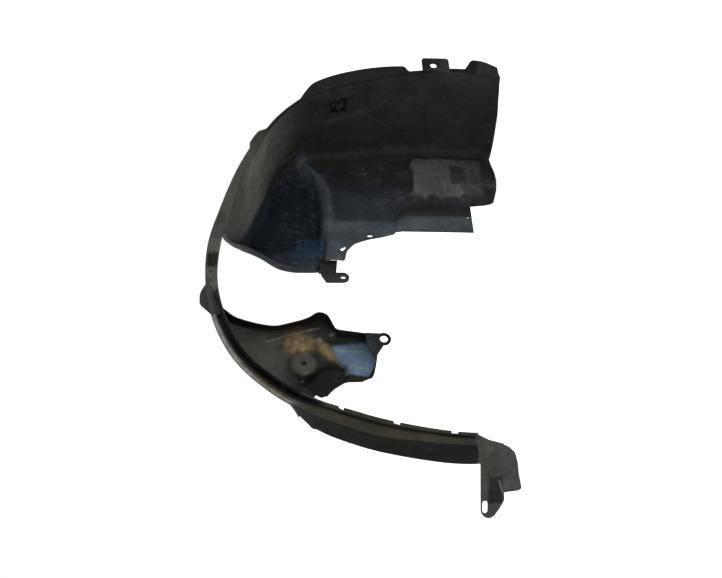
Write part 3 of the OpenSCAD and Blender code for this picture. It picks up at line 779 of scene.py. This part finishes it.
def tone_at(p, normal):
    """Colour, gloss and scuffs of the sheet at a place on it."""
    a, r = polar(p)
    if on_plate(p):
        return plate_tone(p)
    if on_fin(p, r):
        return linear(FIN_GREY), PLAIN_GLOSS, PLAIN_SCUFF
    if on_back(p, a, r, normal):
        # painted shade: the backs of the sheet darken towards the rear
        return coated(linear(BACK_GREY), (REAR_TREAD_SHADE, ramp(100, 130, a))), PLAIN_GLOSS, PLAIN_SCUFF
    if a < 90:
        return bay_tone(p, a, r)
    if a < 148 and p.y > 30 and r < at("lip", a) - 4 or 100 < a < 140 and p.y > 90:
        return wing_tone(p)
    return rear_tone(p, a, r)


def paint(piece):
    """Sets the colour, gloss and scuffs of each point of a piece as attributes that its material reads."""
    mesh = piece.data
    tone = mesh.attributes.new("tone", "FLOAT_COLOR", "POINT")
    wear = mesh.attributes.new("wear", "FLOAT_VECTOR", "POINT")
    for v in mesh.vertices:
        colour, gloss, scuff = tone_at(v.co / MM + TAB_HOLE_AT, v.normal)
        tone.data[v.index].color = (*colour, 1)
        wear.data[v.index].vector = (gloss, scuff, 0)


paint(moulding)

# ---------------------------------------------------------------- finish


def add(tree, kind, inputs=(), **settings):
    """Adds a node, with its settings, and its inputs as values or as the outputs that feed them."""
    node = tree.nodes.new(kind)
    for key, value in settings.items():
        setattr(node, key, value)
    for key, value in dict(inputs).items():
        if isinstance(value, bpy.types.NodeSocket):
            tree.links.new(value, node.inputs[key])
        else:
            node.inputs[key].default_value = value
    return node


def bare_material(name):
    """A new material and its node tree, empty."""
    material = bpy.data.materials.new(name)
    material.use_nodes = True
    material.node_tree.nodes.clear()
    return material, material.node_tree


def worn_polypropylene():
    """Moulded black polypropylene after some years under a car: a fine grain, a film of dust that greys it in soft
    clouds, paler rubbed scratches, and a dull sheen that shows where water has washed it clean."""
    material, tree = bare_material("worn_black_polypropylene")
    place_on = add(tree, "ShaderNodeTexCoord").outputs["Object"]
    tone = add(tree, "ShaderNodeAttribute", attribute_name="tone").outputs["Color"]
    wear = add(tree, "ShaderNodeAttribute", attribute_name="wear").outputs["Vector"]
    parts = add(tree, "ShaderNodeSeparateXYZ", {"Vector": wear})
    gloss, scuff = parts.outputs["X"], parts.outputs["Y"]

    def clouds(size_mm, detail, roughness=0.6, stretch=(1, 1, 1)):
        moved = add(tree, "ShaderNodeMapping", {"Vector": place_on, "Scale": stretch})
        return add(tree, "ShaderNodeTexNoise", {"Vector": moved.outputs["Vector"], "Scale": 1 / (size_mm * MM),
                                                "Detail": detail, "Roughness": roughness}).outputs["Fac"]

    def stretch_to(value, low, high, to_low, to_high):
        return add(tree, "ShaderNodeMapRange", {"Value": value, "From Min": low, "From Max": high,
                                                "To Min": to_low, "To Max": to_high}).outputs["Result"]

    def times(a, b):
        return add(tree, "ShaderNodeMath", {0: a, 1: b}, operation="MULTIPLY").outputs["Value"]

    def blend(share, a, b, kind="MIX"):
        return add(tree, "ShaderNodeMix", {0: share, 6: a, 7: b}, data_type="RGBA", blend_type=kind).outputs[2]

    dust = stretch_to(clouds(46, 5), 0.3, 0.7, 0.72, 1.28)
    film = stretch_to(clouds(9, 6), 0.3, 0.72, 0.8, 1.25)
    shade = times(dust, film)
    grey = add(tree, "ShaderNodeCombineColor", {0: shade, 1: shade, 2: shade})
    colour = blend(1.0, tone, grey.outputs["Color"], "MULTIPLY")
    specks = stretch_to(clouds(9, 5, 0.7, (1, 1, 0.5)), 0.5, 0.64, 0, 1)
    rubs = stretch_to(clouds(44, 4, 0.7), 0.44, 0.62, 0, 1)
    colour = blend(times(times(specks, rubs), times(scuff, 0.65)), colour, (*linear(RUBBED_BLUE), 1))
    roughness = stretch_to(clouds(22, 4), 0.3, 0.7, 0.62, 0.82)
    roughness = add(tree, "ShaderNodeMath", {0: roughness, 1: times(gloss, 0.3)}, operation="SUBTRACT")
    grain = add(tree, "ShaderNodeBump", {"Height": clouds(1.6, 3), "Strength": 0.25, "Distance": 0.15 * MM})
    waves = add(tree, "ShaderNodeBump", {"Height": clouds(34, 3), "Strength": 0.5, "Distance": 2.2 * MM,
                                         "Normal": grain.outputs["Normal"]})
    surface = add(tree, "ShaderNodeBsdfPrincipled", {"Base Color": colour, "Roughness": roughness.outputs["Value"],
                                                     "Normal": waves.outputs["Normal"], "IOR": 1.49,
                                                     "Specular IOR Level": 0.13})
    add(tree, "ShaderNodeOutputMaterial", {"Surface": surface.outputs["BSDF"]})
    return material


moulding.data.materials.clear()
moulding.data.materials.append(worn_polypropylene())
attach(moulding, "root")
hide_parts("liner")

# ---------------------------------------------------------------- floor, light and camera

FLOOR_HALF, FLOOR_GLOW, SKY_LIGHT = 6, 0.85, 0.78


def plain_floor():
    """White painted board: it shows as plain white and keeps a soft shadow."""
    material, tree = bare_material("white_board")
    board = add(tree, "ShaderNodeBsdfDiffuse", {"Color": (*linear(BOARD_WHITE), 1)})
    glow = add(tree, "ShaderNodeEmission", {"Color": (1, 1, 1, 1), "Strength": FLOOR_GLOW})
    both = add(tree, "ShaderNodeAddShader", {0: board.outputs["BSDF"], 1: glow.outputs["Emission"]})
    seen = add(tree, "ShaderNodeLightPath").outputs["Is Camera Ray"]
    surface = add(tree, "ShaderNodeMixShader", {"Fac": seen, 1: board.outputs["BSDF"], 2: both.outputs["Shader"]})
    add(tree, "ShaderNodeOutputMaterial", {"Surface": surface.outputs["Shader"]})
    return material


floor_bm = bmesh.new()
bmesh.ops.create_grid(floor_bm, x_segments=1, y_segments=1, size=FLOOR_HALF)
for v in floor_bm.verts:
    v.co.z = CAD_BOX[0][2]
floor = new_object("floor", floor_bm)
floor.data.materials.append(plain_floor())

world = bpy.data.worlds.new("studio")
bpy.context.scene.world = world
world.use_nodes = True
sky = world.node_tree
sky.nodes.clear()
soft = add(sky, "ShaderNodeBackground", {"Color": (1, 1, 1, 1), "Strength": SKY_LIGHT})
white = add(sky, "ShaderNodeBackground", {"Color": (1, 1, 1, 1), "Strength": 1.0})
seen = add(sky, "ShaderNodeLightPath").outputs["Is Camera Ray"]
shown = add(sky, "ShaderNodeMixShader", {"Fac": seen, 1: soft.outputs["Background"], 2: white.outputs["Background"]})
add(sky, "ShaderNodeOutputWorld", {"Surface": shown.outputs["Shader"]})


LIT_AT = (0, 60, 100)


def softbox(name, spot, size, power):
    """A square lamp, in metres and watts, turned to the liner."""
    light = bpy.data.lights.new(name, "AREA")
    light.size = size
    light.energy = power
    lamp = bpy.data.objects.new(name, light)
    bpy.context.scene.collection.objects.link(lamp)
    lamp.location = place(spot)
    lamp.rotation_euler = (place(LIT_AT) - place(spot)).to_track_quat("-Z", "Y").to_euler()


softbox("key", (1300, -1700, 900), 1.4, 11)
softbox("fill", (-1500, -1300, 300), 1.8, 6)

CAMERA_AZ, CAMERA_EL, CAMERA_BACK = radians(36), radians(6), 1805
LENS_MM, SENSOR_MM = 60, 36
AIM_AT = Vector((-93, 0, 137))
looking = Vector((sin(CAMERA_AZ) * cos(CAMERA_EL), cos(CAMERA_AZ) * cos(CAMERA_EL), -sin(CAMERA_EL)))
picture_up = Vector((cos(CAMERA_AZ), -sin(CAMERA_AZ), 0))
picture_right = looking.cross(picture_up)
lens = bpy.data.cameras.new("camera")
lens.lens = LENS_MM
lens.sensor_width = SENSOR_MM
camera = bpy.data.objects.new("camera", lens)
bpy.context.scene.collection.objects.link(camera)
turned = Matrix((picture_right, picture_up, -looking)).transposed().to_4x4()
camera.matrix_world = Matrix.Translation(place(AIM_AT - looking * CAMERA_BACK)) @ turned
bpy.context.scene.camera = camera

bpy.context.scene.view_settings.view_transform = "Standard"
